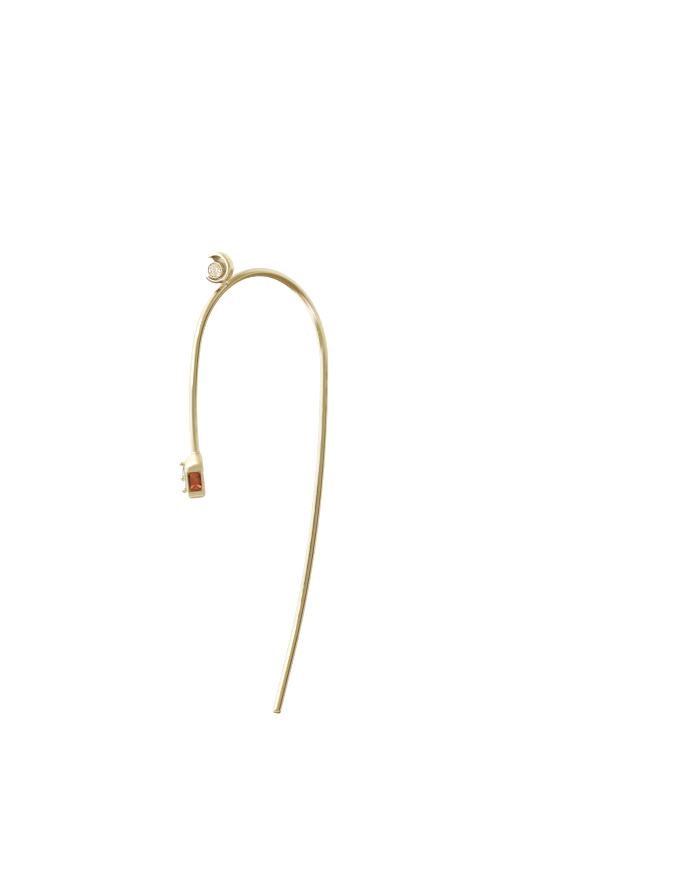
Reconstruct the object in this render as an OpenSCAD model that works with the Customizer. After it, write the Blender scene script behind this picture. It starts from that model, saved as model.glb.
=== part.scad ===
// Threader earring, in millimetres. The wire's arch stands in the XZ plane, +Z is up.
// The origin is the point under the arch's crown that rests in the ear piercing.
// The short arm with its stones hangs at -X, in front of the ear lobe, and the plain tail at +X, behind it.

/* [Wire] */
// Diameter of the round wire
wire_d = 0.9; // [0.7:0.05:1.1]
// Radius of the arch's crown, at the wire's centre line
crown_r = 10.6; // [9:0.1:14]
// Angle from the arch's top to where the tighter shoulders begin
crown_half = 40; // [38:1:50]
// Radius of the arch's shoulders, at the wire's centre line
shoulder_r = 8.8; // [7:0.1:12]

/* [Short arm] */
// Lean of the wire where the arch ends and the short arm begins, in degrees from upright
arm_lean = 10.8; // [5:0.1:15]
// Radius of the short arm's slight curve
arm_r = 30; // [20:1:60]
// Lean back under the arch at the short arm's end, in degrees
arm_in = 9.3; // [3:0.1:15]

/* [Tail] */
// Straight drop between the arch and the tail's curve
tail_drop = 0.4; // [0.2:0.1:6]
// Radius of the tail's long curve
tail_r = 81; // [50:1:120]
// Angle that the tail's curve turns through, in degrees
tail_sweep = 20.8; // [10:0.1:30]
// Straight length at the tail's free end
tail_end = 6.1; // [5:0.1:12]
// Rounding of the tail's blunt tip
tip_round = 0.15; // [0.05:0.05:0.3]

/* [Top setting] */
// Place of the top setting, in degrees from the crown towards the short arm
top_at = 30.5; // [20:0.5:36]
// Angle by which the top setting's face is turned up from the line of the wire
top_tilt = 26; // [0:1:35]
// Turn of its face out of the arch's plane, towards the window's side, in degrees
top_turn = 15; // [0:1:30]
// Diameter of the round stone
top_stone_d = 1.4; // [1.2:0.1:2.2]
// Wall of the collet that holds the round stone
collet_t = 0.12; // [0.1:0.01:0.25]
// Distance by which the collet sits under the hood's middle
collet_low = 0.2; // [0.1:0.01:0.25]
// Distance by which the collet sits aside of the hood's middle, towards its opening
collet_aside = 0.2; // [0:0.01:0.2]
// Mean width of the groove between collet and hood
groove_w = 0.41; // [0.35:0.01:0.5]
// Wall of the hood round the collet
hood_t = 0.32; // [0.25:0.01:0.5]
// Angle that the hood covers; the rest of the ring is open
hood_sweep = 272; // [220:1:300]
// Metal behind the round stone's point
top_back = 0.24; // [0.1:0.01:0.3]
// Height of the hood's edge in front of the collet's rim
hood_rise = 0.12; // [0.05:0.01:0.25]

/* [End block] */
// Turn of the end block out of the arch's plane, in degrees
end_turn = 50; // [20:5:60]
// Distance that the end block stands out from the wire's axis
block_out = 0.48; // [0.3:0.01:0.6]
// Slope of the cap's shoulder, in degrees from the wire's axis
shoulder_slope = 50; // [40:1:55]
// Height of the cap over the window, shoulder and all
cap_h = 1.75; // [1.6:0.05:2.2]
// Thickness of the cup under the window
cup_h = 0.72; // [0.5:0.02:1]
// Depth of the end block, from the window's face to its back
block_d = 2.2; // [2.1:0.05:2.6]
// Width of the narrow rail beside the window, at the block's outer corner
rail_t = 0.2; // [0.18:0.01:0.4]
// Width of the window's other frame
frame_t = 0.3; // [0.25:0.01:0.5]
// Rounding of the block's upright edges
edge_r = 0.2; // [0.1:0.01:0.3]
// Rounding of the block's lower corners
foot_r = 0.5; // [0.3:0.05:0.6]
// Projection of the cap over the block's faces
lip = 0.05; // [0.02:0.01:0.1]

/* [Orange stone] */
// Width of the step-cut stone
step_w = 1.2; // [1:0.05:1.4]
// Height of the step-cut stone
step_h = 1.9; // [1.7:0.05:2.2]
// Depth of its table behind the window's face
step_recess = 0.15; // [0.1:0.01:0.25]
// Gap between the stone and the narrow rail
step_gap = 0.08; // [0.06:0.01:0.2]

/* [Oval stone] */
// Width of the oval stone
oval_w = 1.3; // [1.1:0.05:1.4]
// Height of the oval stone
oval_h = 2.35; // [1.8:0.05:2.5]
// Depth of the oval stone's centre under the wire's end
oval_down = 2.3; // [2.2:0.02:2.4]
// Height of its girdle over the block's face
oval_stand = 0.1; // [0.08:0.01:0.14]
// Diameter of each prong
prong_d = 0.32; // [0.24:0.02:0.34]
// Diameter of the bead on each prong
bead_d = 0.54; // [0.4:0.02:0.6]

/* [Hidden] */

gold = "#d9c27e";
fine = 96;     // segments of a large circle
small = 48;    // segments of a small circle
past = 0.05;   // how far a cut runs past the face it opens in
clear = 0.02;  // gap between each stone and its metal
hair = 0.002;  // how much thinner a stretch of wire is that runs into its neighbour
run_in = 0.05; // how far it runs in

// The centres of the wire's arcs: the crown, the shoulders at -shoulder_x and shoulder_x, and the short arm
wire_r = wire_d/2;
crown_z = wire_r - crown_r;
shoulder_x = (crown_r - shoulder_r)*sin(crown_half);
shoulder_z = crown_z + (crown_r - shoulder_r)*cos(crown_half);
arm_x = (arm_r - shoulder_r)*cos(arm_lean) - shoulder_x;
arm_z = shoulder_z - (arm_r - shoulder_r)*sin(arm_lean);
tail_x = shoulder_x + shoulder_r - tail_r;
tail_z = shoulder_z - tail_drop;

// The top setting, ring by ring from the stone outwards
top_r = top_stone_d/2;
bore_r = top_r + clear;
collet_r = bore_r + collet_t;
groove_r = collet_r + groove_w;
hood_r = groove_r + hood_t;
top_floor = 0.25;      // thickness of the groove's floor, which joins collet and hood
foot_gap = 0.15;       // height of the solder foot between the wire and the setting
foot_d = 0.8*wire_d;
hood_start = 121;      // where the hood begins, from straight up, on the side away from the window

// The cuts of the stones. Heights are shares of the width: the table, crown and pavilion.
brilliant = [["table", 0.56], ["crown", 0.15], ["girdle", 0.03], ["pavilion", 0.42]];
shallow = [["table", 0.58], ["crown", 0.19], ["girdle", 0.03], ["pavilion", 0.26]];
top_sink = 0.06;       // depth of the round stone's girdle behind the collet's rim
girdle_low = top_sink + share(brilliant, "girdle")*top_stone_d + clear;
culet_low = girdle_low + share(brilliant, "pavilion")*top_stone_d + clear;
top_depth = culet_low + top_back;

// The end block, from the top down and from the window's face back
block_w = rail_t + step_gap + step_w + 2*clear + frame_t;
window_w = block_w - rail_t - frame_t;
window_h = step_h + 4*clear;
block_h = cap_h + window_h + cup_h;
step_x = block_w/2 - frame_t - 2*clear - step_w/2;
step_z = -cap_h - window_h/2;
step_crown = 0.2;
step_girdle = 0.04;
step_pavilion = 0.58;
step_y = -block_d/2 + step_recess + step_crown;
seat_down = 0.18;      // depth of the stone's seat behind its girdle
collar_h = 0.1;        // the ring of solder where the wire meets the cap

// Insets of the step cut at its levels: the table, the crown's step, the girdle and the pavilion's steps.
// Each row gives a level as a share of the crown or pavilion, and an inset as a share of half the width.
crown_steps = [[1, 0.46], [0.62, 0.2], [0, 0]];
pavilion_steps = [[0, 0], [0.3, 0.26], [0.66, 0.58], [1, 0.86]];
corner = 0.2;          // the cut corner of the step cut, as a share of its width

function share(cut, name) = [for (row = cut) if (row[0] == name) row[1]][0];

// Straight-line reading of a step table at a level between two rows
function read(rows, level, i = 0) =
    i >= len(rows) - 2 || level <= rows[i + 1][0]
        ? rows[i][1] + (rows[i + 1][1] - rows[i][1])*(level - rows[i][0])/(rows[i + 1][0] - rows[i][0])
        : read(rows, level, i + 1);

seat_inset = read(pavilion_steps, (seat_down - step_girdle)/step_pavilion)*step_w/2;

// Oval stone's prongs stand just outside its girdle
prong_out = prong_d/2 + clear;
oval_y = 0.08;         // the head sits a little behind the middle of the block's side
oval_pavilion = share(shallow, "pavilion")*oval_w;
oval_over = oval_stand - share(shallow, "girdle")*oval_w;
oval_mouth = 1 - oval_over/oval_pavilion;
pocket_d = oval_pavilion - oval_over + 2*clear;
bead_up = sqrt(pow(bead_d/2 + clear, 2) - pow(prong_out, 2));   // each bead just clears the girdle's edge

// An arc of wire of radius w in the XZ plane, round [x, z], from the angle a0 through sweep.
// Both ends run on past the arc by the length past_ends.
module wire_arc(x, z, r, a0, sweep, w, past_ends) {
    more = past_ends/r*180/PI;
    translate([x, 0, z]) rotate([90, 0, 0]) rotate([0, 0, a0 - more])
        rotate_extrude(angle = sweep + 2*more, $fn = fine) translate([r, 0]) circle(w, $fn = small);
}

// The frame at the short arm's lower end, with the wire running out along -Z
module at_arm_end() {
    translate([arm_x, 0, arm_z]) rotate([0, -arm_in, 0]) translate([-arm_r, 0, 0]) children();
}

// The end block's own frame: its window faces -Y and its oval stone -X
module at_block() {
    at_arm_end() translate([-block_out, 0, 0]) rotate([0, 0, -end_turn]) children();
}

// The frame at the tail's free end, with the wire running out along -Z
module at_tail() {
    translate([tail_x, 0, tail_z]) rotate([0, tail_sweep, 0])
        translate([tail_r, 0, 0]) children();
}

// The frame on the wire's centre line under the top setting, with +Z out of the arch
module at_foot() {
    translate([0, 0, crown_z]) rotate([0, -top_at, 0]) translate([0, 0, crown_r]) children();
}

// The top setting's frame: its face looks along +Z, from the hood's middle, level with the collet's rim
module at_top() {
    at_foot() translate([0, 0, wire_r + foot_gap + hood_r])
        rotate([0, 0, top_turn]) rotate([0, top_tilt - 90, 0]) translate([0, 0, top_depth/2]) children();
}

// The collet's own frame, a little nearer to the wire and to the hood's opening
module at_collet() {
    at_top() translate([-collet_low, collet_aside, 0]) children();
}

// The shoulders and the tail's curve run a little way into their neighbours, a hair inside their surface
module wire() {
    bend = 90 - crown_half;
    wire_arc(0, crown_z, crown_r, bend, 2*crown_half, wire_r, 0);
    wire_arc(shoulder_x, shoulder_z, shoulder_r, 0, bend, wire_r - hair, run_in);
    wire_arc(-shoulder_x, shoulder_z, shoulder_r, 90 + crown_half, bend - arm_lean, wire_r - hair, run_in);
    wire_arc(tail_x, tail_z, tail_r, -tail_sweep, tail_sweep, wire_r - hair, run_in);
    wire_arc(arm_x, arm_z, arm_r, 180 - arm_lean, arm_lean + arm_in, wire_r, 0);
    translate([shoulder_x + shoulder_r, 0, tail_z]) cylinder(h = tail_drop, r = wire_r, $fn = small);
    at_tail() {
        translate([0, 0, tip_round - tail_end])
            cylinder(h = tail_end - tip_round, r = wire_r, $fn = small);
        translate([0, 0, -tail_end])
            cylinder(h = tip_round, r1 = wire_r - tip_round, r2 = wire_r, $fn = small);
    }
    at_arm_end() translate([0, 0, -cap_h/2]) cylinder(h = cap_h/2 + run_in, r = wire_r - hair, $fn = small);
}

// The top setting: a closed cup for the stone, with the hood standing round it like a crescent
module top_setting() {
    difference() {
        union() {
            at_collet() translate([0, 0, -top_depth]) cylinder(h = top_depth, r = collet_r, $fn = fine);
            at_top() rotate([0, 0, hood_start]) rotate_extrude(angle = hood_sweep, $fn = fine) hood_section();
        }
        at_collet() top_bore();
    }
    // The solder foot on the wire
    at_foot() cylinder(h = wire_r + foot_gap + hood_t/2, d = foot_d, $fn = small);
}

// The hood's section: the groove's floor, a flat inner face, and an outer face that rounds over to a thin front edge
module hood_section() {
    edge = hood_t/4;
    round_r = hood_t - edge;
    low = lip - top_depth;
    inner = bore_r - norm([collet_low, collet_aside]);   // the floor ends well inside the collet
    translate([inner, low]) square([groove_r + edge - inner, top_floor]);
    intersection() {
        translate([groove_r, -2*top_depth]) square([2*hood_t, 4*top_depth]);
        union() {
            translate([groove_r, low]) square([hood_t, hood_rise - round_r - low]);
            translate([groove_r, low]) square([edge, hood_rise - low]);
            translate([groove_r + edge, hood_rise - round_r]) circle(round_r, $fn = small);
        }
    }
}

// The round stone's seat: a bore for the girdle and a cone for the pavilion
module top_bore() {
    rotate_extrude($fn = fine)
        polygon([[0, -culet_low], [bore_r, -girdle_low], [bore_r, past], [0, past]]);
}

// A prism along Z with rounded upright edges
module rounded_prism(w, d, h) {
    translate([0, 0, -h]) linear_extrude(h) {
        square([w - 2*edge_r, d], center = true);
        square([w, d - 2*edge_r], center = true);
        for (x = [-1, 1], y = [-1, 1])
            translate([x*(w/2 - edge_r), y*(d/2 - edge_r)]) circle(edge_r, $fn = small);
    }
}

// An outline with rounded lower corners, stretched along Y
module footed(w, d, h) {
    rotate([90, 0, 0]) translate([0, 0, -d/2]) linear_extrude(d) {
        translate([-w/2, foot_r - h]) square([w, h - foot_r]);
        translate([foot_r - w/2, -h]) square([w - 2*foot_r, foot_r]);
        for (x = [-1, 1]) translate([x*(w/2 - foot_r), foot_r - h]) circle(foot_r, $fn = small);
    }
}

// A slot outline with round ends, w wide and h high, cut d deep along +X
module slot(w, h, d) {
    rotate([90, 0, 90]) linear_extrude(d) {
        square([w, h - w], center = true);
        for (z = [-1, 1]) translate([0, z*(h - w)/2]) circle(d = w, $fn = small);
    }
}

module block_body() {
    at_block() intersection() {
        rounded_prism(block_w, block_d, block_h);
        footed(block_w, block_d + 2*lip, block_h);
        rotate([0, 0, 90]) footed(block_d, block_w + 2*lip, block_h);
        translate([0, 0, -block_h]) cylinder(h = block_h - cap_h + lip, r = 2*block_d, $fn = small);
    }
    intersection() {
        at_block() rounded_prism(block_w + 2*lip, block_d + 2*lip, cap_h);
        at_arm_end() shoulder();
    }
    // The ring of solder, which closes over the arm's end by half of what the wire runs in
    at_arm_end() translate([0, 0, -collar_h])
        cylinder(h = collar_h + run_in/2, r = wire_r + lip, $fn = small);
}

// The cone that the cap is trimmed to, spreading from inside the ring of solder
module shoulder() {
    top = wire_r + lip/2;
    high = cap_h - collar_h/2;
    translate([0, 0, -cap_h]) cylinder(h = high, r1 = top + high*tan(shoulder_slope), r2 = top, $fn = fine);
}

// The window with the orange stone's seat, cut from the block's face
module window() {
    seat_y = step_y + seat_down;
    seat_w = step_w - 2*seat_inset + 2*clear;
    seat_h = step_h - 2*seat_inset + 2*clear;
    seat_d = step_crown + step_girdle + step_pavilion + step_recess + 2*clear;
    translate([rail_t - block_w/2, -block_d/2 - lip - past, -cap_h - window_h])
        cube([window_w, seat_y + block_d/2 + lip + past, window_h]);
    translate([step_x - seat_w/2, -block_d/2, step_z - seat_h/2]) cube([seat_w, seat_d, seat_h]);
}

// The oval stone's pocket in the block's side, wide enough for the girdle through the cap's lip
module pocket() {
    translate([-block_w/2, oval_y, -oval_down]) {
        translate([-lip - past, 0, 0]) slot(oval_w + 4*clear, oval_h + 4*clear, lip + past);
        translate([-past, 0, 0]) slot(oval_mouth*oval_w + 2*clear, oval_mouth*oval_h + 2*clear, pocket_d + past);
    }
}

// Four prongs round the oval stone, above, below and on each side, each ending in a bead
module prongs() {
    reach = block_w/2 + oval_stand + bead_up;
    for (side = [-1, 1]) {
        translate([0, oval_y + side*(oval_w/2 + prong_out), -oval_down]) prong(reach);
        translate([0, oval_y, -oval_down + side*(oval_h/2 + prong_out)]) prong(reach);
    }
}

// Each prong's root ends inside the narrow rail
module prong(reach) {
    translate([-reach, 0, 0]) {
        rotate([0, 90, 0]) cylinder(h = reach - block_w/2 + rail_t/2, d = prong_d, $fn = small);
        sphere(d = bead_d, $fn = small);
    }
}

module ear_wire() {
    color(gold) {
        wire();
        top_setting();
        difference() {
            block_body();
            at_block() {
                window();
                pocket();
            }
        }
        at_block() prongs();
    }
}

// A brilliant cut of half-widths rx and ry, from its table at the top to its culet, girdle at Z = 0.
// The table, 8 stars, 8 mains and 16 halves make the crown, 16 halves and 8 mains the pavilion.
module brilliant_cut(rx, ry, cut) {
    width = 2*min(rx, ry);
    table_r = share(cut, "table");
    table_z = share(cut, "crown")*width;
    girdle_z = -share(cut, "girdle")*width;
    culet_z = girdle_z - share(cut, "pavilion")*width;
    star_r = (1 + table_r)/2;
    half_r = 0.26;
    star_z = table_z*(1 - star_r*cos(22.5))/(1 - table_r);
    half_z = culet_z + (girdle_z - culet_z)*half_r*cos(22.5);
    points = concat(
        [for (i = [0:7]) ring_point(rx, ry, table_r, 45*i, table_z)],
        [for (i = [0:7]) ring_point(rx, ry, star_r, 45*i + 22.5, star_z)],
        [for (i = [0:15]) ring_point(rx, ry, 1, 22.5*i, 0)],
        [for (i = [0:15]) ring_point(rx, ry, 1, 22.5*i, girdle_z)],
        [for (i = [0:7]) ring_point(rx, ry, half_r, 45*i + 22.5, half_z)],
        [[0, 0, culet_z]]
    );
    table = 0;
    star = 8;
    top = 16;
    low = 32;
    half = 48;
    culet = 56;
    faces = concat(
        [[for (i = [7:-1:0]) table + i]],
        [for (i = [0:7]) let (j = (i + 1)%8) [table + i, table + j, star + i]],
        [for (i = [0:7]) let (k = (i + 7)%8) [table + i, star + i, top + 2*i, star + k]],
        [for (i = [0:7]) [star + i, top + 2*i + 1, top + 2*i]],
        [for (i = [0:7]) [star + i, top + (2*i + 2)%16, top + 2*i + 1]],
        [for (i = [0:15]) let (j = (i + 1)%16) [top + i, top + j, low + j, low + i]],
        [for (i = [0:7]) [half + i, low + 2*i, low + 2*i + 1]],
        [for (i = [0:7]) [half + i, low + 2*i + 1, low + (2*i + 2)%16]],
        [for (i = [0:7]) let (k = (i + 7)%8) [culet, half + k, low + 2*i, half + i]]
    );
    polyhedron(points, faces);
}

function ring_point(rx, ry, r, angle, z) = [rx*r*cos(angle), ry*r*sin(angle), z];

module top_stone() {
    color("#f4f6f4") at_collet() translate([0, 0, -top_sink]) brilliant_cut(top_r, top_r, brilliant);
}

module oval_stone() {
    color("#f2f6f2") at_block() translate([-block_w/2 - oval_stand, oval_y, -oval_down])
        rotate([0, -90, 0]) brilliant_cut(oval_h/2, oval_w/2, shallow);
}

// One level of the step cut: a rectangle with cut corners, drawn in from the girdle by inset
function step_ring(inset, y) =
    let (w = step_w/2 - inset, h = step_h/2 - inset, c = corner*step_w*(w/(step_w/2)))
    [[w - c, y, h], [w, y, h - c], [w, y, c - h], [w - c, y, -h],
     [c - w, y, -h], [-w, y, c - h], [-w, y, h - c], [c - w, y, h]];

module orange_stone() {
    levels = concat(
        [for (row = crown_steps) [-row[0]*step_crown, row[1]*step_w/2]],
        [for (row = pavilion_steps) [step_girdle + row[0]*step_pavilion, row[1]*step_w/2]]
    );
    rings = [for (level = levels) step_ring(level[1], level[0])];
    points = [for (ring = rings) each ring];
    last = len(rings) - 1;
    faces = concat(
        [[for (i = [0:7]) i]],
        [for (n = [0:last - 1], i = [0:7]) let (j = (i + 1)%8) [8*n + j, 8*n + i, 8*n + 8 + i, 8*n + 8 + j]],
        [[for (i = [7:-1:0]) 8*last + i]]
    );
    color("#b4401c") at_block() translate([step_x, step_y, step_z]) polyhedron(points, faces);
}

ear_wire();
top_stone();
orange_stone();
oval_stone();
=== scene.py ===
# %% [markdown]
# A threader earring: a gold wire that hooks through the ear, with a small round setting on its arch and a
# stone-set block at the end of its short arm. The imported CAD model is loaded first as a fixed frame, so every
# piece made below goes where the CAD says, in the same metres.

# %% Load the frame
import math

import bpy
import numpy as np
from mathutils import Matrix, Vector


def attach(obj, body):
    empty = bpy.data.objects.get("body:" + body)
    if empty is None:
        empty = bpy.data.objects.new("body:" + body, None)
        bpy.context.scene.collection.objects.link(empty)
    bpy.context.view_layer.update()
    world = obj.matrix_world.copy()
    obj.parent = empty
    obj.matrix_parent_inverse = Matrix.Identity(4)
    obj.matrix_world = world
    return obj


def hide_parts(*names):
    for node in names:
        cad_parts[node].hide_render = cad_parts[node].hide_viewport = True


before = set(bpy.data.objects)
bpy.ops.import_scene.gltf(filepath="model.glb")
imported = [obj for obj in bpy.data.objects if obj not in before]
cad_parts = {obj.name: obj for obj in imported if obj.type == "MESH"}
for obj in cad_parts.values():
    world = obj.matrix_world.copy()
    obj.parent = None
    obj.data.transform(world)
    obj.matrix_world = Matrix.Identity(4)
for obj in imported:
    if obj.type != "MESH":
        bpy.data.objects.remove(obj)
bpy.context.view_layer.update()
MM = 0.001
print("CAD nodes:", sorted(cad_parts))

# %% [markdown]
# Camera. The photograph was taken level with the earring and from 50 degrees to its side, from far away, so
# that the arch looks narrower than it is. A very long lens at 2.2 m gives the same flat view, in which near
# and far pieces keep one scale. The picture is 700 x 875 pixels, and ten of its pixels are a millimetre here.

# %% Camera
VIEW = math.radians(-50)
picture_right = Vector((math.cos(VIEW), math.sin(VIEW), 0))
towards_camera = Vector((math.sin(VIEW), -math.cos(VIEW), 0))
picture_wide, camera_away, sensor = 70 * MM, 2.2, 36
aim = (picture_right * 9.0 + Vector((0, 0, -16.096))) * MM

camera_data = bpy.data.cameras.new("camera")
camera_data.sensor_fit = "HORIZONTAL"
camera_data.sensor_width = sensor
camera_data.lens = sensor * camera_away / picture_wide
camera_data.clip_start = 0.01
camera_data.clip_end = 60
camera = bpy.data.objects.new("camera", camera_data)
camera.location = aim + towards_camera * camera_away
camera.rotation_euler = (-towards_camera).to_track_quat("-Z", "Y").to_euler()
bpy.context.scene.collection.objects.link(camera)
bpy.context.scene.camera = camera
print("lens", round(camera_data.lens), "mm")

# %% [markdown]
# Node trees. A material is easier to read as arithmetic than as a web of boxes. Value wraps a socket, and
# + - * / on it add Math nodes. Graph.add makes any other node: its type, its settings, and then the values
# and links of its sockets.

# %% Helpers for node trees
class Value:
    def __init__(self, graph, socket):
        self.graph, self.socket = graph, socket

    def __add__(self, other):
        return self.graph.maths("ADD", self, other)

    def __sub__(self, other):
        return self.graph.maths("SUBTRACT", self, other)

    def __rsub__(self, other):
        return self.graph.maths("SUBTRACT", other, self)

    def __mul__(self, other):
        return self.graph.maths("MULTIPLY", self, other)

    __radd__ = __add__
    __rmul__ = __mul__


class Graph:
    def __init__(self, tree):
        self.tree = tree
        tree.nodes.clear()

    def add(self, kind, settings=None, sockets=None):
        node = self.tree.nodes.new(kind)
        for name, value in (settings or {}).items():
            setattr(node, name, value)
        for name, value in (sockets or {}).items():
            if isinstance(value, Value):
                self.tree.links.new(value.socket, node.inputs[name])
            else:
                node.inputs[name].default_value = value
        return node

    def out(self, kind, settings=None, sockets=None, socket=0):
        return Value(self, self.add(kind, settings, sockets).outputs[socket])

    def maths(self, operation, *values):
        return self.out("ShaderNodeMath", {"operation": operation}, dict(enumerate(values)))

    def step(self, value, low, high):
        """0 below low, 1 above high, and a smooth slope between them."""
        return self.out("ShaderNodeMapRange", {"interpolation_type": "SMOOTHSTEP"},
                        {"Value": value, "From Min": low, "From Max": high})

    def mix(self, share, first, second):
        """A colour between two colours."""
        return self.out("ShaderNodeMix", {"data_type": "RGBA"}, {0: share, 6: first, 7: second}, 2)

# %% [markdown]
# Studio. Polished gold shows its surroundings more than its own colour. The photograph's pale gold is a white
# tent at the left and above; its olive and brown bands are the tent's opening, where the camera stands, and
# the warm table and room at the right and below. The world holds these as soft zones of directions, each
# given by how far it is turned from the camera to the right, how high it is, and its colour. The camera and
# the floor see plain white all round, so that the background is white from every side.

# %% Zones of the surroundings
# Each has the middle, half width and soft edge of its turn, the same of its rise, in degrees, and its colour.
zones = [
    ("room at the right", (106, 79, 16), (0, 80, 15), (0.83, 0.81, 0.74)),
    ("opening", (27, 25, 35), (41, 30, 60), (0.60, 0.51, 0.25)),
    ("camera", (3, 18, 27), (6, 16, 9), (0.42, 0.35, 0.20)),
    ("edge of the table", (-20, 53, 12), (-35, 9, 19), (0.45, 0.41, 0.19)),
    ("door frame", (92, 5, 7), (35, 27, 12), (0.47, 0.36, 0.14)),
    ("beam", (71, 60, 12), (72, 9, 25), (0.48, 0.40, 0.19)),
    ("low shelf", (138, 48, 8), (-26, 19, 6), (0.42, 0.33, 0.13)),
    ("table", (132, 57, 20), (-54, 29, 8), (0.32, 0.21, 0.08)),
    ("dark door", (73, 15, 9), (11, 8, 6), (0.18, 0.10, 0.03)),
    ("dark shelf", (-26, 14, 8), (21, 5, 6), (0.12, 0.08, 0.02)),
    ("white card", (35, 12, 8), (-48, 3, 10), (1.15, 1.20, 1.32)),
    ("lit face", (-31, 6, 9), (-13, 3, 6), (0.80, 0.74, 0.57)),
    ("under the earring", (0, 300, 10), (-91, 8, 15), (0.54, 0.33, 0.10)),
    ("behind", (185, 30, 10), (1, 7, 18), (0.60, 0.56, 0.54)),
]

# %% Tent of light
world = bpy.data.worlds.new("tent")
bpy.context.scene.world = world
world.use_nodes = True
g = Graph(world.node_tree)
direction = g.out("ShaderNodeTexCoord", socket="Generated")


def along(axis):
    return g.out("ShaderNodeVectorMath", {"operation": "DOT_PRODUCT"}, {0: direction, 1: axis}, "Value")


in_degrees = 180 / math.pi
turn = g.maths("ARCTAN2", along(picture_right), along(towards_camera)) * in_degrees
rise = g.maths("ARCSINE", along((0, 0, 1))) * in_degrees


def within(value, middle, half, soft):
    return 1 - g.step(g.maths("ABSOLUTE", value - middle), half, half + soft)


cool_white, paper_white = (1.00, 1.03, 1.10, 1), (1.3, 1.3, 1.3, 1)
tent = cool_white
for name, turns, rises, colour in zones:
    away = g.maths("WRAP", turn - turns[0], 180, -180)
    tent = g.mix(within(away, 0, *turns[1:]) * within(rise, *rises), tent, colour + (1,))
rays = g.add("ShaderNodeLightPath")
plain = g.maths("MAXIMUM", *(Value(g, rays.outputs[ray]) for ray in ("Is Camera Ray", "Is Diffuse Ray")))
tent = g.mix(plain, tent, paper_white)
background = g.add("ShaderNodeBackground", None, {"Color": tent})
output = g.add("ShaderNodeOutputWorld")
world.node_tree.links.new(background.outputs[0], output.inputs[0])
bpy.context.scene.view_settings.view_transform = "Standard"

# %% Floor
floor_mesh = bpy.data.meshes.new("floor")
half_side, floor_z = 20, -64 * MM
corners = [(x * half_side, y * half_side, floor_z) for x, y in ((-1, -1), (1, -1), (1, 1), (-1, 1))]
floor_mesh.from_pydata(corners, [], [(0, 1, 2, 3)])
floor = bpy.data.objects.new("floor", floor_mesh)
floor.visible_glossy = False
floor.visible_transmission = False
bpy.context.scene.collection.objects.link(floor)
paper = bpy.data.materials.new("white_paper")
paper.use_nodes = True
g = Graph(paper.node_tree)
fibre = g.out("ShaderNodeTexNoise", None,
              {"Vector": g.out("ShaderNodeTexCoord", socket="Object"), "Scale": 900.0, "Detail": 4.0})
shader = g.add("ShaderNodeBsdfPrincipled", None,
               {"Base Color": g.mix(fibre, (0.97, 0.97, 0.96, 1), (1, 1, 0.99, 1)), "Roughness": 0.9})
output = g.add("ShaderNodeOutputMaterial")
paper.node_tree.links.new(shader.outputs[0], output.inputs[0])
floor_mesh.materials.append(paper)

# %% Lights


def soft_light(name, place, power, size):
    data = bpy.data.lights.new(name, "AREA")
    data.energy, data.size = power, size
    lamp = bpy.data.objects.new(name, data)
    lamp.location = place
    lamp.rotation_euler = (aim - lamp.location).to_track_quat("-Z", "Y").to_euler()
    lamp.visible_camera = False
    bpy.context.scene.collection.objects.link(lamp)
    return lamp


key_place = aim + towards_camera * 0.35 - picture_right * 0.45 + Vector((0, 0, 0.5))
key_power, key_wide, wash_power, wash_wide = 0.2, 0.25, 40, 1.2
soft_light("key", key_place, key_power, key_wide)
soft_light("floor_wash", Vector((0, 0, 0.7)), wash_power, wash_wide).visible_glossy = False

# %% [markdown]
# A small round white card stands close to the short arm, to its left. Of the wire only the arm mirrors it,
# because from the tail it is seen in other directions: a near card lights one stretch, a far one all of it.

# %% Card by the arm
card_wide, card_away, card_white = 24 * MM, 28 * MM, 0.85
card_turn, card_rise = math.radians(-31), math.radians(22)
on_the_arm = Vector((-9.6, 0, -8)) * MM
level = picture_right * math.sin(card_turn) + towards_camera * math.cos(card_turn)
card_place = on_the_arm + card_away * (math.cos(card_rise) * level + Vector((0, 0, math.sin(card_rise))))
card_power = card_white * (math.pi * card_wide / 2) ** 2
card = soft_light("arm_card", card_place, card_power, card_wide)
card.data.shape = "DISK"
card.visible_transmission = False

# %% [markdown]
# Gold. The wire is polished 14 carat gold: pale and warm, with a mirror finish that is never quite flat. The
# colour drifts a little, and rubbing has left fine scratches. Grooves and crevices beside the stones, and the
# hood's low front edge, are painted dark brown. This is partly a film of polish residue that no cloth reaches,
# and partly painted shade where the metal around them blocks the light. Each cast piece below carries two
# values at every point. The first is 0 on open metal and 1 where this painted shade and film is deepest, and
# "satin" is how much of the dull cast skin the polishing wheel has left.

# %% Gold material
gold = bpy.data.materials.new("polished_gold")
gold.use_nodes = True
g = Graph(gold.node_tree)
place = g.out("ShaderNodeTexCoord", socket="Object")
hollow, satin = [g.out("ShaderNodeAttribute", {"attribute_name": name}, socket="Fac")
                 for name in ("hollow", "satin")]
drift = g.out("ShaderNodeTexNoise", None, {"Vector": place, "Scale": 420.0, "Detail": 3.0})
rubbed = g.out("ShaderNodeTexNoise", None,
               {"Vector": place, "Scale": 5200.0, "Detail": 5.0, "Roughness": 0.7})
waves = g.out("ShaderNodeTexNoise", None, {"Vector": place, "Scale": 700.0, "Detail": 1.0})
colour = g.mix(g.step(drift, 0.3, 0.7), (0.91, 0.83, 0.64, 1), (0.95, 0.87, 0.69, 1))
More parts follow.
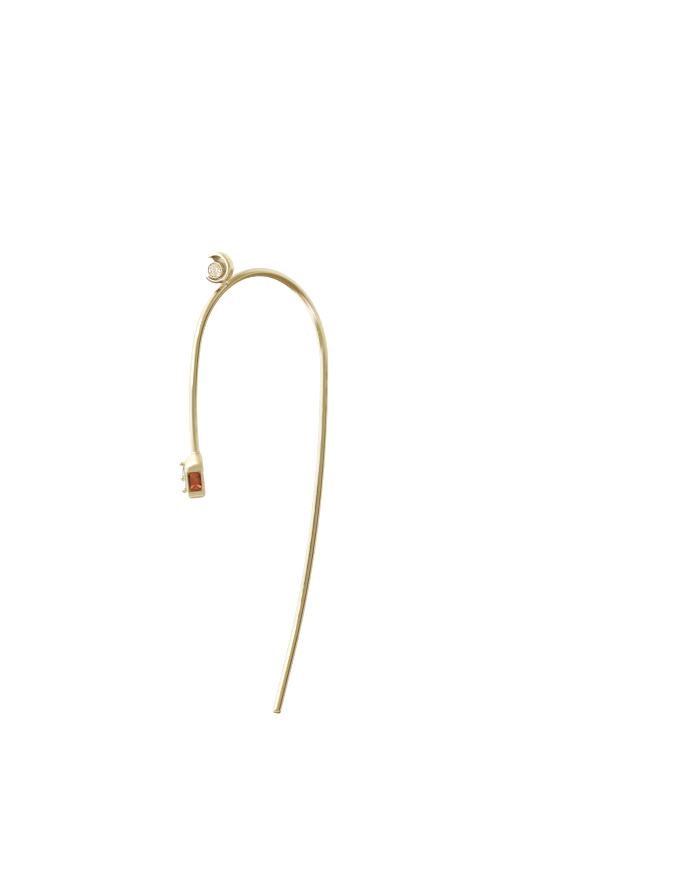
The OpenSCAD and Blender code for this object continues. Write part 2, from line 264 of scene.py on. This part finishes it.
# Painted shade with some real film: where the first value is high, the gold turns this dark brown.
shade_and_film_colour = (0.36, 0.25, 0.11, 1)
colour = g.mix(g.step(hollow, 0.15, 0.9), colour, shade_and_film_colour)
rough = 0.05 + 0.07 * g.step(rubbed, 0.35, 0.8) + 0.25 * hollow + 0.26 * satin
uneven = g.out("ShaderNodeBump", None, {"Height": waves, "Strength": 1.0, "Distance": 0.018 * MM})
scratched = g.out("ShaderNodeBump", None,
                  {"Height": rubbed, "Strength": 1.0, "Distance": 0.0006 * MM, "Normal": uneven})
scattered = 0.03 * satin
shader = g.add("ShaderNodeBsdfPrincipled", None,
               {"Base Color": colour, "Metallic": 1 - scattered, "Roughness": rough, "Normal": scratched})
output = g.add("ShaderNodeOutputMaterial")
gold.node_tree.links.new(shader.outputs[0], output.inputs[0])

# %% [markdown]
# The wire's path. The arch is a crown with two tighter shoulders; the short arm curls in, and the tail runs
# down in one long curve to a blunt tip. Each stretch is an arc of a circle, given by its centre, its radius
# and its two angles, and each arc leaves where the last one ends, in the same direction.

# %% Sizes of the wire, in millimetres
wire_r = 0.45
crown_r, crown_half = 10.6, 40
shoulder_r = 8.8
arm_lean, arm_r, arm_in = 10.8, 30, 9.3
tail_drop, tail_r, tail_sweep, tail_end, tip_round = 0.4, 81, 20.8, 6.1, 0.15


def cosd(a):
    return math.cos(math.radians(a))


def sind(a):
    return math.sin(math.radians(a))


crown_z = wire_r - crown_r
shoulder_x = (crown_r - shoulder_r) * sind(crown_half)
shoulder_z = crown_z + (crown_r - shoulder_r) * cosd(crown_half)
arm_x = (arm_r - shoulder_r) * cosd(arm_lean) - shoulder_x
arm_z = shoulder_z - (arm_r - shoulder_r) * sind(arm_lean)
tail_x = shoulder_x + shoulder_r - tail_r
tail_z = shoulder_z - tail_drop

# %% Frames of the wire's ends and of the two settings


def at(*steps):
    """A place reached by steps: three numbers move, and a letter with an angle turns."""
    m = Matrix.Identity(4)
    for step in steps:
        m = m @ (Matrix.Rotation(math.radians(step[1]), 4, step[0]) if isinstance(step[0], str)
                 else Matrix.Translation(step))
    return m


arm_end = at((arm_x, 0, arm_z), ("Y", -arm_in), (-arm_r, 0, 0))
tail_tip = at((tail_x, 0, tail_z), ("Y", tail_sweep), (tail_r, 0, 0), (0, 0, -tail_end))

# %% Points of the path


def arc(x, z, r, start, stop, step=0.14):
    count = max(2, int(abs(stop - start) * math.pi / 180 * r / step))
    return [(x + r * cosd(a), 0, z + r * sind(a)) for a in np.linspace(start, stop, count + 1)[:-1]]


bend, into_block = 90 - crown_half, 0.6
path = [tuple(arm_end @ Vector((0, 0, -into_block)))]
path += arc(arm_x, arm_z, arm_r, 180 + arm_in, 180 - arm_lean)
path += arc(-shoulder_x, shoulder_z, shoulder_r, 180 - arm_lean, 90 + crown_half)
path += arc(0, crown_z, crown_r, 90 + crown_half, bend)
path += arc(shoulder_x, shoulder_z, shoulder_r, bend, 0)
path += arc(tail_x, tail_z, tail_r, 0, -tail_sweep)
tail_start = tail_tip @ Vector((0, 0, tail_end))
straight_steps, tip_steps = 24, (tip_round, 0.11, 0.075, 0.045, 0.022, 0.008, 0)
path += [tuple(tail_start.lerp(tail_tip.translation, k / straight_steps)) for k in range(straight_steps)]
path += [tuple(tail_tip @ Vector((0, 0, up))) for up in tip_steps]
path = np.array(path)
steps = np.linalg.norm(np.diff(path, axis=0), axis=1)
print("wire:", len(path), "points,", round(float(steps.sum()), 1), "mm long")

# %% [markdown]
# The wire is swept by Geometry Nodes. A circle follows the path, which would be slow to model by hand, and
# the thickness is one named input. The tip's last points carry a smaller size, so that it rounds over. The
# result is turned into a plain mesh, because the library keeps meshes and not modifiers.

# %% Helpers for pieces


def new_object(name, mesh):
    obj = bpy.data.objects.new(name, mesh)
    bpy.context.scene.collection.objects.link(obj)
    return obj


def apply_nodes(obj, group, values):
    """Runs the node group on the object with these input values, and keeps the result as a plain mesh."""
    modifier = obj.modifiers.new("nodes", "NODES")
    modifier.node_group = group
    for item in group.interface.items_tree:
        if item.item_type == "SOCKET" and item.in_out == "INPUT" and item.name in values:
            modifier[item.identifier] = values[item.name]
    done = obj.evaluated_get(bpy.context.evaluated_depsgraph_get())
    mesh = bpy.data.meshes.new_from_object(done)
    mesh.name = obj.name
    obj.modifiers.clear()
    obj.data = mesh
    return obj


def new_group(name, inputs):
    group = bpy.data.node_groups.new(name, "GeometryNodeTree")
    group.interface.new_socket("Geometry", in_out="INPUT", socket_type="NodeSocketGeometry")
    for label, kind in inputs:
        group.interface.new_socket(label, in_out="INPUT", socket_type=kind)
    group.interface.new_socket("Geometry", in_out="OUTPUT", socket_type="NodeSocketGeometry")
    return group, Graph(group)

# %% Node tree that sweeps the wire
sweep, g = new_group("sweep_wire", [("Wire Radius", "NodeSocketFloat"), ("Sides", "NodeSocketInt"),
                                    ("Gold", "NodeSocketMaterial")])
given = g.add("NodeGroupInput")
curve = g.out("GeometryNodeMeshToCurve", None, {"Mesh": Value(g, given.outputs["Geometry"])})
thin = g.out("GeometryNodeInputNamedAttribute", {"data_type": "FLOAT"}, {"Name": "thin"})
ring = g.out("GeometryNodeCurvePrimitiveCircle", None, {"Resolution": Value(g, given.outputs["Sides"]),
                                                         "Radius": Value(g, given.outputs["Wire Radius"])})
swept = g.out("GeometryNodeCurveToMesh", None,
              {"Curve": curve, "Profile Curve": ring, "Scale": thin, "Fill Caps": True})
swept = g.out("GeometryNodeSetShadeSmooth", None, {"Geometry": swept})
swept = g.out("GeometryNodeRealizeInstances", None, {"Geometry": swept})
swept = g.out("GeometryNodeSetMaterial", None,
              {"Geometry": swept, "Material": Value(g, given.outputs["Gold"])})
g.add("NodeGroupOutput", None, {"Geometry": swept})

# %% Sweep the wire
line = bpy.data.meshes.new("wire")
line.from_pydata([Vector(p) * MM for p in path], [(i, i + 1) for i in range(len(path) - 1)], [])
to_tip = np.array([np.linalg.norm(p - np.array(tail_tip.translation)) for p in path])
short = np.clip(tip_round - to_tip, 0, None) / tip_round
thin = 1 - tip_round / wire_r * (1 - np.sqrt(1 - short ** 2))
line.attributes.new("thin", "FLOAT", "POINT").data.foreach_set("value", thin)
wire = apply_nodes(new_object("wire", line), sweep, {"Wire Radius": wire_r * MM, "Sides": 40, "Gold": gold})
print("wire:", len(wire.data.polygons), "faces")

# %% [markdown]
# The settings. The real ones were cast, soldered and polished, so that every edge is a little round and
# every joint has a small fillet. Bevels and booleans on a mesh give ragged corners at this size. A distance
# field gives this look: for any point, a formula says how far it is from the metal, minus inside. The larger
# of two distances is what two shapes share, and the smaller one joins them; a smooth larger or smaller rounds
# the edge or fills the joint. A net of small squares is then drawn where the distance is 0.

# %% Distances


def larger(a, b, soft=0.0):
    if not soft:
        return np.maximum(a, b)
    h = np.maximum(soft - np.abs(a - b), 0) / soft
    return np.maximum(a, b) + h * h * soft / 4


def smaller(a, b, soft=0.0):
    return -larger(-a, -b, soft)


def inside(value, low, high):
    return np.maximum(low - value, value - high)


def rounded_box(x, y, w, h, r):
    """Distance to a rectangle round the origin, w by h, with corners of radius r."""
    qx, qy = np.abs(x) - w / 2 + r, np.abs(y) - h / 2 + r
    return np.hypot(np.maximum(qx, 0), np.maximum(qy, 0)) + np.minimum(np.maximum(qx, qy), 0) - r


def moved(m, p):
    """The points p as seen from the frame m."""
    m = np.array(m.inverted())
    return p @ m[:3, :3].T + m[:3, 3]

# %% Net over a distance field


def slope(field, p, step=0.002):
    return np.stack([field(p + d) - field(p - d) for d in np.eye(3) * step], -1) / (2 * step)


def net(field, low, high, cell):
    """Vertices and squares of the surface where the field is 0, between two corners."""
    low, high = np.array(low, float), np.array(high, float)
    count = np.ceil((high - low) / cell).astype(int) + 1
    axes = [low[k] + cell * np.arange(count[k]) for k in range(3)]
    f = np.stack([field(np.stack(np.meshgrid([x], axes[1], axes[2], indexing="ij"), -1).reshape(-1, 3))
                  .reshape(count[1], count[2]) for x in axes[0]])
    total, hits = np.zeros(tuple(count - 1) + (3,)), np.zeros(tuple(count - 1))
    for axis in range(3):
        a, b = np.moveaxis(f, axis, 0)[:-1], np.moveaxis(f, axis, 0)[1:]
        crossed = (a < 0) != (b < 0)
        part = np.where(crossed, a / np.where(crossed, a - b, 1), 0)
        crossed, part = np.moveaxis(crossed, 0, axis), np.moveaxis(part, 0, axis)
        others = [k for k in range(3) if k != axis]
        for i in (0, 1):
            for j in (0, 1):
                cut = [slice(None)] * 3
                for k, offset in zip(others, (i, j)):
                    cut[k] = slice(offset, count[k] - 1 + offset)
                c, t = crossed[tuple(cut)], part[tuple(cut)]
                hits += c
                total[..., axis] += t
                total[..., others[0]] += c * i
                total[..., others[1]] += c * j
    active = hits > 0
    number = np.full(active.shape, -1)
    number[active] = np.arange(active.sum())
    points = low + cell * (np.argwhere(active) + total[active] / hits[active][:, None])
    squares = []
    for axis in range(3):
        u, v = [(1, 2), (2, 0), (0, 1)][axis]
        a, b = [slice(None)] * 3, [slice(None)] * 3
        a[axis], b[axis] = slice(0, -1), slice(1, None)
        for s in (a, b):
            s[u], s[v] = slice(1, -1), slice(1, -1)
        first, second = f[tuple(a)] < 0, f[tuple(b)] < 0
        at_edge = np.argwhere(first != second)
        flip = first[first != second]
        at_edge[:, u] += 1
        at_edge[:, v] += 1
        corners = []
        for du, dv in ((-1, -1), (0, -1), (0, 0), (-1, 0)):
            q = at_edge.copy()
            q[:, u] += du
            q[:, v] += dv
            corners.append(number[q[:, 0], q[:, 1], q[:, 2]])
        quads = np.stack(corners, -1)
        quads[~flip] = quads[~flip][:, ::-1]
        squares.append(quads)
    least_slope, rounds = 0.2, 3
    for _ in range(rounds):
        n = slope(field, points)
        off = np.clip(field(points), -cell, cell) / np.maximum((n * n).sum(1), least_slope)
        points = points - n * off[:, None]
    return points, np.concatenate(squares)


def ramp(value, start, width):
    """0 up to start, and 1 from start + width on."""
    return np.clip((value - start) / width, 0, 1)


def crevices(field, points):
    """How deep each point lies in a groove, from the metal that stands in front of it, near or far."""
    n = slope(field, points)
    n /= np.linalg.norm(n, axis=1)[:, None]
    near_probe, far_probe, far_share = 0.16, 0.5, 0.9
    near, far = [ramp(-field(points + n * d), -d, d) for d in (near_probe, far_probe)]
    return np.maximum(near, far_share * far)


def metal(name, field, low, high, cell, where, finish):
    """A gold piece from a field in its own frame. finish gives the share of painted shade and film, and the
    satin share, at each point.
    """
    points, squares = net(field, low, high, cell)
    mesh = bpy.data.meshes.new(name)
    m = np.array(where)
    mesh.from_pydata((points @ m[:3, :3].T + m[:3, 3]) * MM, [], squares.tolist())
    for label, values in zip(("hollow", "satin"), finish(points)):
        mesh.attributes.new(label, "FLOAT", "POINT").data.foreach_set("value", values)
    mesh.materials.append(gold)
    mesh.shade_smooth()
    print(name, len(points), "vertices,", 2 * len(squares), "triangles")
    return new_object(name, mesh)

# %% [markdown]
# The top setting: a closed cup, called a collet, holds the round stone, and a crescent hood stands round it
# with a groove between them. Both are turned shapes, so that their distance is worked out from the height and
# the distance to the axis. The collet stands a little off the hood's axis, and a foot of solder joins the
# setting to the arch.

# %% Top setting
top_r, clear, collet_t, collet_low, collet_aside = 0.7, 0.02, 0.12, 0.2, 0.2
groove_w, hood_t, hood_rise, hood_start, hood_sweep = 0.41, 0.32, 0.12, 121, 272
top_sink, top_back, top_floor, foot_gap, lip = 0.06, 0.24, 0.25, 0.15, 0.05
top_at, top_turn, top_tilt = 30.5, 15, 26
girdle_share, pavilion_share = 0.03, 0.42
plate_soft, end_soft, cup_soft, root_soft, mouth_soft = 0.06, 0.10, 0.06, 0.04, 0.03
foot_share, wire_soft, foot_soft = 0.8, 0.12, 0.10
skin_sink, skin_slope, skin_near, skin_far = 0.004, 0.15, 0.62, 1.0
bore_r = top_r + clear
collet_r = bore_r + collet_t
groove_r = collet_r + groove_w
hood_r = groove_r + hood_t
girdle_low = top_sink + girdle_share * 2 * top_r + clear
culet_low = girdle_low + pavilion_share * 2 * top_r + clear
top_depth = culet_low + top_back
plate_r = bore_r - math.hypot(collet_low, collet_aside)
arch_top = at((0, 0, crown_z), ("Y", -top_at), (0, 0, crown_r))
top_frame = arch_top @ at((0, 0, wire_r + foot_gap + hood_r), ("Z", top_turn), ("Y", top_tilt - 90),
                          (0, 0, top_depth / 2))
foot_from_top = top_frame.inverted() @ arch_top


def off_collet(x, y):
    """Distance to the collet's own axis."""
    return np.hypot(x + collet_low, y - collet_aside)


def off_arch(q):
    """Distance to the wire, for points in the arch's frame."""
    return np.hypot(np.hypot(q[:, 0], q[:, 2] + crown_r) - crown_r, q[:, 1]) - wire_r


# %% Distance to the top setting
def top_field(p):
    x, y, z = p.T
    away = np.hypot(x, y)
    edge, small_edge, low = hood_t / 4, 0.035, lip - top_depth
    # hood: a tall box with a rounded outer corner, between two ends
    mid = (low + hood_rise) / 2
    r = np.where((away > groove_r + hood_t / 2) & (z > mid), hood_t - edge, small_edge)
    qx = np.abs(away - groove_r - hood_t / 2) - hood_t / 2 + r
    qz = np.abs(z - mid) - (hood_rise - low) / 2 + r
    hood = np.hypot(np.maximum(qx, 0), np.maximum(qz, 0)) + np.minimum(np.maximum(qx, qz), 0) - r
    plate = np.maximum(inside(away, plate_r, groove_r + edge), inside(z, low, low + top_floor))
    hood = smaller(hood, plate, plate_soft)
    angle = (np.degrees(np.arctan2(y, x)) - (hood_start + hood_sweep / 2) + 180) % 360 - 180
    ends = away * np.sin(np.radians(np.clip(np.abs(angle) - hood_sweep / 2, -90, 90)))
    hood = larger(hood, ends, end_soft)
    # collet: a closed cup with a bore for the girdle and a cone for the point
    away = off_collet(x, y)
    cup = larger(away - collet_r, inside(z, -top_depth, 0), cup_soft)
    cup = smaller(cup, hood, root_soft)
    lean = math.hypot(bore_r, culet_low - girdle_low)
    cone = (bore_r * (-culet_low - z) + (culet_low - girdle_low) * away) / lean
    cup = larger(cup, -np.maximum(away - bore_r, cone), mouth_soft)
    # foot of solder, with fillets to the setting and to a skin just under the wire's, which sinks outwards
    q = moved(foot_from_top, p)
    foot_r, foot_top = foot_share * wire_r, wire_r + foot_gap + hood_t / 2
    foot = np.maximum(np.hypot(q[:, 0], q[:, 1]) - foot_r, inside(q[:, 2], 0, foot_top))
    off = np.linalg.norm(q, axis=1)
    skin = off_arch(q) + skin_sink + skin_slope * np.maximum(off - skin_near, 0)
    joint = smaller(foot, np.maximum(skin, off - skin_far), wire_soft)
    return smaller(cup, joint, foot_soft)


# %% Painted shade, film and satin of the top setting
def top_shade_and_finish(p):
    """Painted shade, partly a film of polish residue, lies in the groove, most in its upper end; painted shade
    lies on the hood's low front edge. Satin ends at the wire.
    """
    x, y, z = p.T
    away = np.hypot(x, y)
    between = ramp(off_collet(x, y), bore_r + 0.06, 0.05) * (1 - ramp(away, groove_r, 0.05))
    upper = ramp(x + y, 0.4, 0.7)
    groove = ramp(-z, 0.05, 0.45) * between * (0.5 + 0.5 * upper)
    # painted shade on the hood's low front edge
    on_hood = ramp(away, groove_r + 0.06, 0.08) * (1 - ramp(away, hood_r, 0.05))
    low_front = ramp(-x, 0.45, 0.3) * ramp(y, -0.7, 0.3) * ramp(z, -0.6, 0.3)
    off_wire = off_arch(moved(foot_from_top, p))
    return np.maximum(groove, 0.9 * on_hood * low_front), 0.7 * ramp(off_wire, 0, 0.3)


# %% Make the top setting
span, foot_room, wire_room = hood_r + 0.12, 1.6, 0.8
top_setting = metal("top_setting", top_field, (-span - foot_room, -span, -top_depth - wire_room),
                    (span, span, wire_room), 0.032, top_frame, top_shade_and_finish)

# %% [markdown]
# The end block: a small cast box on the arm's end. Its cap slopes up to the wire, its window holds the orange
# stone, and the cup below it is rounded like a foot. The oval stone sits in a pocket in the next face. Cuts
# are made with the larger of the block and the cut turned inside out, softly, so that each mouth is rounded.

# %% End block
end_turn, block_out, slope_angle, cap_h, cup_h, block_d = 50, 0.48, 50, 1.75, 0.72, 2.2
rail_t, frame_t, edge_r, foot_r, collar_h = 0.2, 0.3, 0.2, 0.5, 0.1
step_w, step_h, step_recess, step_gap, step_crown = 1.2, 1.9, 0.15, 0.08, 0.2
oval_w, oval_h, oval_down, oval_stand, oval_y = 1.3, 2.35, 2.3, 0.1, 0.08
seat_rim, seat_deep, seat_margin, pocket_share, pocket_deep = 0.105, 1.05, 0.18, 0.8195, 0.317
body_soft, cap_corner, cap_soft, cone_soft, ledge_soft = 0.05, 0.42, 0.05, 0.35, 0.015
window_soft, seat_soft, pocket_soft, collar_soft, collar_root, stub_root = 0.05, 0.02, 0.03, 0.03, 0.06, 0.1
collar_up, stub_up, stub_slope = 0.025, 0.4, 0.05
block_w = rail_t + step_gap + step_w + 2 * clear + frame_t
window_h = step_h + 4 * clear
block_h = cap_h + window_h + cup_h
step_x = block_w / 2 - frame_t - 2 * clear - step_w / 2
step_z = -cap_h - window_h / 2
seat_y = -block_d / 2 + step_recess + step_crown + seat_margin
block_frame = arm_end @ at((-block_out, 0, 0), ("Z", -end_turn))
arm_from_block = block_frame.inverted() @ arm_end


def pocket_distance(p, share, gap, deep):
    """Distance to a slot with round ends in the block's side face, this share of the oval stone's size."""
    w, h = share * oval_w + 2 * gap, share * oval_h + 2 * gap
    across = rounded_box(p[:, 1] - oval_y, p[:, 2] + oval_down, w, h, w / 2)
    return np.maximum(across, p[:, 0] + block_w / 2 - deep)


# %% Distance to the end block
def block_field(p):
    x, y, z = p.T
    q = moved(arm_from_block, p)
    axis = np.hypot(q[:, 0], q[:, 1])
    tall = 2 * block_h
    body = rounded_box(x, y, block_w, block_d, edge_r)
    body = larger(body, rounded_box(x, z + block_h - tall / 2, block_w, tall, foot_r), body_soft)
    body = larger(body, rounded_box(y, z + block_h - tall / 2, block_d, tall, foot_r), body_soft)
    body = np.maximum(body, z + cap_h - lip)
    cap = rounded_box(x, y, block_w + 2 * lip, block_d + 2 * lip, cap_corner)
    cap = larger(cap, inside(z, -cap_h, 0), cap_soft)
    cone_r = wire_r + lip / 2 + (-collar_h / 2 - q[:, 2]) * math.tan(math.radians(slope_angle))
    cap = larger(cap, (axis - cone_r) * cosd(slope_angle), cone_soft)
    block = smaller(body, cap, ledge_soft)
    window = np.maximum(inside(x, rail_t - block_w / 2, block_w / 2 - frame_t), y - seat_y)
    window = np.maximum(window, inside(z, -cap_h - window_h, -cap_h))
    half_w, half_h = step_w / 2 - seat_rim, step_h / 2 - seat_rim
    seat = np.maximum(inside(x - step_x, -half_w, half_w), inside(z - step_z, -half_h, half_h))
    seat = np.maximum(seat, y + block_d / 2 - seat_deep)
    block = larger(larger(block, -window, window_soft), -seat, seat_soft)
    pocket = np.minimum(pocket_distance(p, 1, 2 * clear, 0),
                        pocket_distance(p, pocket_share, clear, pocket_deep))
    block = larger(block, -pocket, pocket_soft)
    collar = larger(axis - wire_r - lip, inside(q[:, 2], -collar_h, collar_up), collar_soft)
    stub = axis - wire_r + skin_sink + stub_slope * np.maximum(q[:, 2], 0)
    stub = np.maximum(stub, inside(q[:, 2], -into_block, stub_up))
    return smaller(smaller(block, collar, collar_root), stub, stub_root)


# %% Make the end block
def block_shade_and_finish(p):
    """Every crevice is darkened by how much metal stands in front of it: painted shade, partly a film of polish
    residue. The block is satin, and that fades out on the wire above it.
    """
    return 0.5 * crevices(block_field, p), 1 - ramp(moved(arm_from_block, p)[:, 2], 0, 0.3)


side_room, cup_room, stub_room = 0.25, 0.15, 0.62
out_x, out_y = block_w / 2 + side_room, block_d / 2 + side_room
end_block = metal("end_block", block_field, (-out_x, -out_y, -block_h - cup_room), (out_x, out_y, stub_room),
                  0.036, block_frame, block_shade_and_finish)

# %% [markdown]
# Prongs. Four short gold pins hold the oval stone, and each ends in a ball that was pressed down over the
# stone's edge. One pin is turned as a profile, and Geometry Nodes place it four times, some a little smaller
# than others, as hand work leaves them.

# %% One prong
prong_d, bead_d, bead_soft = 0.32, 0.54, 0.05
pin_sides, stem_steps, ball_steps, ball_from, ball_share = 40, 12, 44, 11, 0.98
prong_out = prong_d / 2 + clear
bead_up = math.sqrt((bead_d / 2 + clear) ** 2 - prong_out ** 2)
root_up = -(oval_stand + bead_up + rail_t / 2)


def prong_profile():
    """Radius and height, from the root up over the ball."""
    heights = list(np.linspace(root_up, -bead_d / 2 * ball_share, stem_steps)[:-1])
    heights += [-bead_d / 2 * cosd(a) for a in np.linspace(ball_from, 180, ball_steps)]
    out = [(0.0, root_up)]
    for h in heights:
        ball = math.sqrt(max((bead_d / 2) ** 2 - h * h, 0))
        joined = float(larger(np.array(ball), np.array(prong_d / 2), bead_soft))
        out.append((joined if h < 0 else ball, h))
    out[-1] = (0.0, bead_d / 2)
    return out


def turned(name, profile, sides):
    """A closed mesh made by turning a profile, whose ends lie on the axis, round +Z."""
    points = [(0, 0, profile[0][1])]
    for r, h in profile[1:-1]:
        points += [(r * cosd(360 * i / sides), r * sind(360 * i / sides), h) for i in range(sides)]
    points.append((0, 0, profile[-1][1]))
    last, faces = len(points) - 1, []
    for i in range(sides):
        j = (i + 1) % sides
        faces.append((0, 1 + j, 1 + i))
        faces.append((last, last - sides + i, last - sides + j))
        for k in range(len(profile) - 3):
            row = 1 + k * sides
            faces.append((row + i, row + j, row + sides + j, row + sides + i))
    mesh = bpy.data.meshes.new(name)
    mesh.from_pydata([Vector(p) * MM for p in points], [], faces)
    mesh.shade_smooth()
    return mesh


pin = new_object("one_prong", turned("one_prong", prong_profile(), pin_sides))
pin_satin = np.full(len(pin.data.vertices), 0.6)
pin.data.attributes.new("satin", "FLOAT", "POINT").data.foreach_set("value", pin_satin)

# %% Node tree that places the prongs
placing, g = new_group("place_prongs", [("Prong", "NodeSocketObject"), ("Direction", "NodeSocketRotation"),
                                        ("Size Change", "NodeSocketFloat"), ("Seed", "NodeSocketInt"),
                                        ("Gold", "NodeSocketMaterial")])
given = g.add("NodeGroupInput")
one = g.out("GeometryNodeObjectInfo", {"transform_space": "ORIGINAL"},
            {"Object": Value(g, given.outputs["Prong"])}, "Geometry")
change = Value(g, given.outputs["Size Change"])
size = g.out("FunctionNodeRandomValue", {"data_type": "FLOAT"},
             {2: 1 - change, 3: 1.0, "Seed": Value(g, given.outputs["Seed"])}, 1)
dots = g.out("GeometryNodeMeshToPoints", None, {"Mesh": Value(g, given.outputs["Geometry"])})
placed = g.out("GeometryNodeInstanceOnPoints", None,
               {"Points": dots, "Instance": one, "Rotation": Value(g, given.outputs["Direction"]),
                "Scale": size})
placed = g.out("GeometryNodeRealizeInstances", None, {"Geometry": placed})
placed = g.out("GeometryNodeSetMaterial", None,
               {"Geometry": placed, "Material": Value(g, given.outputs["Gold"])})
g.add("NodeGroupOutput", None, {"Geometry": placed})

# %% Place the prongs
reach = block_w / 2 + oval_stand + bead_up
spots = [(-reach, oval_y + side * (oval_w / 2 + prong_out), -oval_down) for side in (-1, 1)]
spots += [(-reach, oval_y, -oval_down + side * (oval_h / 2 + prong_out)) for side in (-1, 1)]
dots_mesh = bpy.data.meshes.new("prongs")
dots_mesh.from_pydata([(block_frame @ Vector(s)) * MM for s in spots], [], [])
outwards = (block_frame.to_3x3() @ Vector((-1, 0, 0))).to_track_quat("Z", "Y").to_euler()
prongs = apply_nodes(new_object("prongs", dots_mesh), placing,
                     {"Prong": pin, "Direction": outwards, "Size Change": 0.05, "Seed": 4, "Gold": gold})
bpy.data.objects.remove(pin)
print("prongs:", len(prongs.data.polygons), "faces")

# %% [markdown]
# The stones keep the CAD model's flat facets, which are what makes a cut stone sparkle. Only the materials
# are made here: a clear stone bends light strongly and is never quite colourless, and the orange one is
# coloured through, its tone drifting a little from place to place.

# %% Stones


def stone_material(name, first, second, bend, grain, through, matt):
    m = bpy.data.materials.new(name)
    m.use_nodes = True
    g = Graph(m.node_tree)
    place = g.out("ShaderNodeTexCoord", socket="Object")
    cloud = g.out("ShaderNodeTexNoise", None, {"Vector": place, "Scale": grain, "Detail": 2.0})
    worn = g.out("ShaderNodeTexNoise", None, {"Vector": place, "Scale": 9000.0, "Detail": 3.0})
    shader = g.add("ShaderNodeBsdfPrincipled", None,
                   {"Base Color": g.mix(g.step(cloud, 0.35, 0.65), first, second),
                    "Roughness": matt + 0.03 * g.step(worn, 0.55, 0.8),
                    "Transmission Weight": through, "IOR": bend})
    output = g.add("ShaderNodeOutputMaterial")
    m.node_tree.links.new(shader.outputs[0], output.inputs[0])
    return m


stones = [
    ("top_stone", "clear_stone", (0.88, 0.80, 0.66, 1), (0.99, 0.94, 0.87, 1), 1.76, 1500.0, 0.88, 0.03),
    ("oval_stone", "white_stone", (0.80, 0.84, 0.78, 1), (0.94, 0.96, 0.93, 1), 1.76, 1200.0, 0.95, 0.03),
    ("orange_stone", "orange_stone", (0.62, 0.08, 0.015, 1), (0.78, 0.22, 0.04, 1), 1.62, 1300.0, 0.92, 0.12),
]
for node, *look in stones:
    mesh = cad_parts[node].data
    mesh.materials.clear()
    mesh.materials.append(stone_material(*look))
    print(node, len(mesh.polygons), "triangles")

# %% [markdown]
# Last, every piece rides on the earring's one body, and the smooth gold pieces stand for the coarse CAD wire.

# %% Ride, replace and finish
for piece in (wire, top_setting, end_block, prongs):
    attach(piece, "root")
    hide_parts("ear_wire")
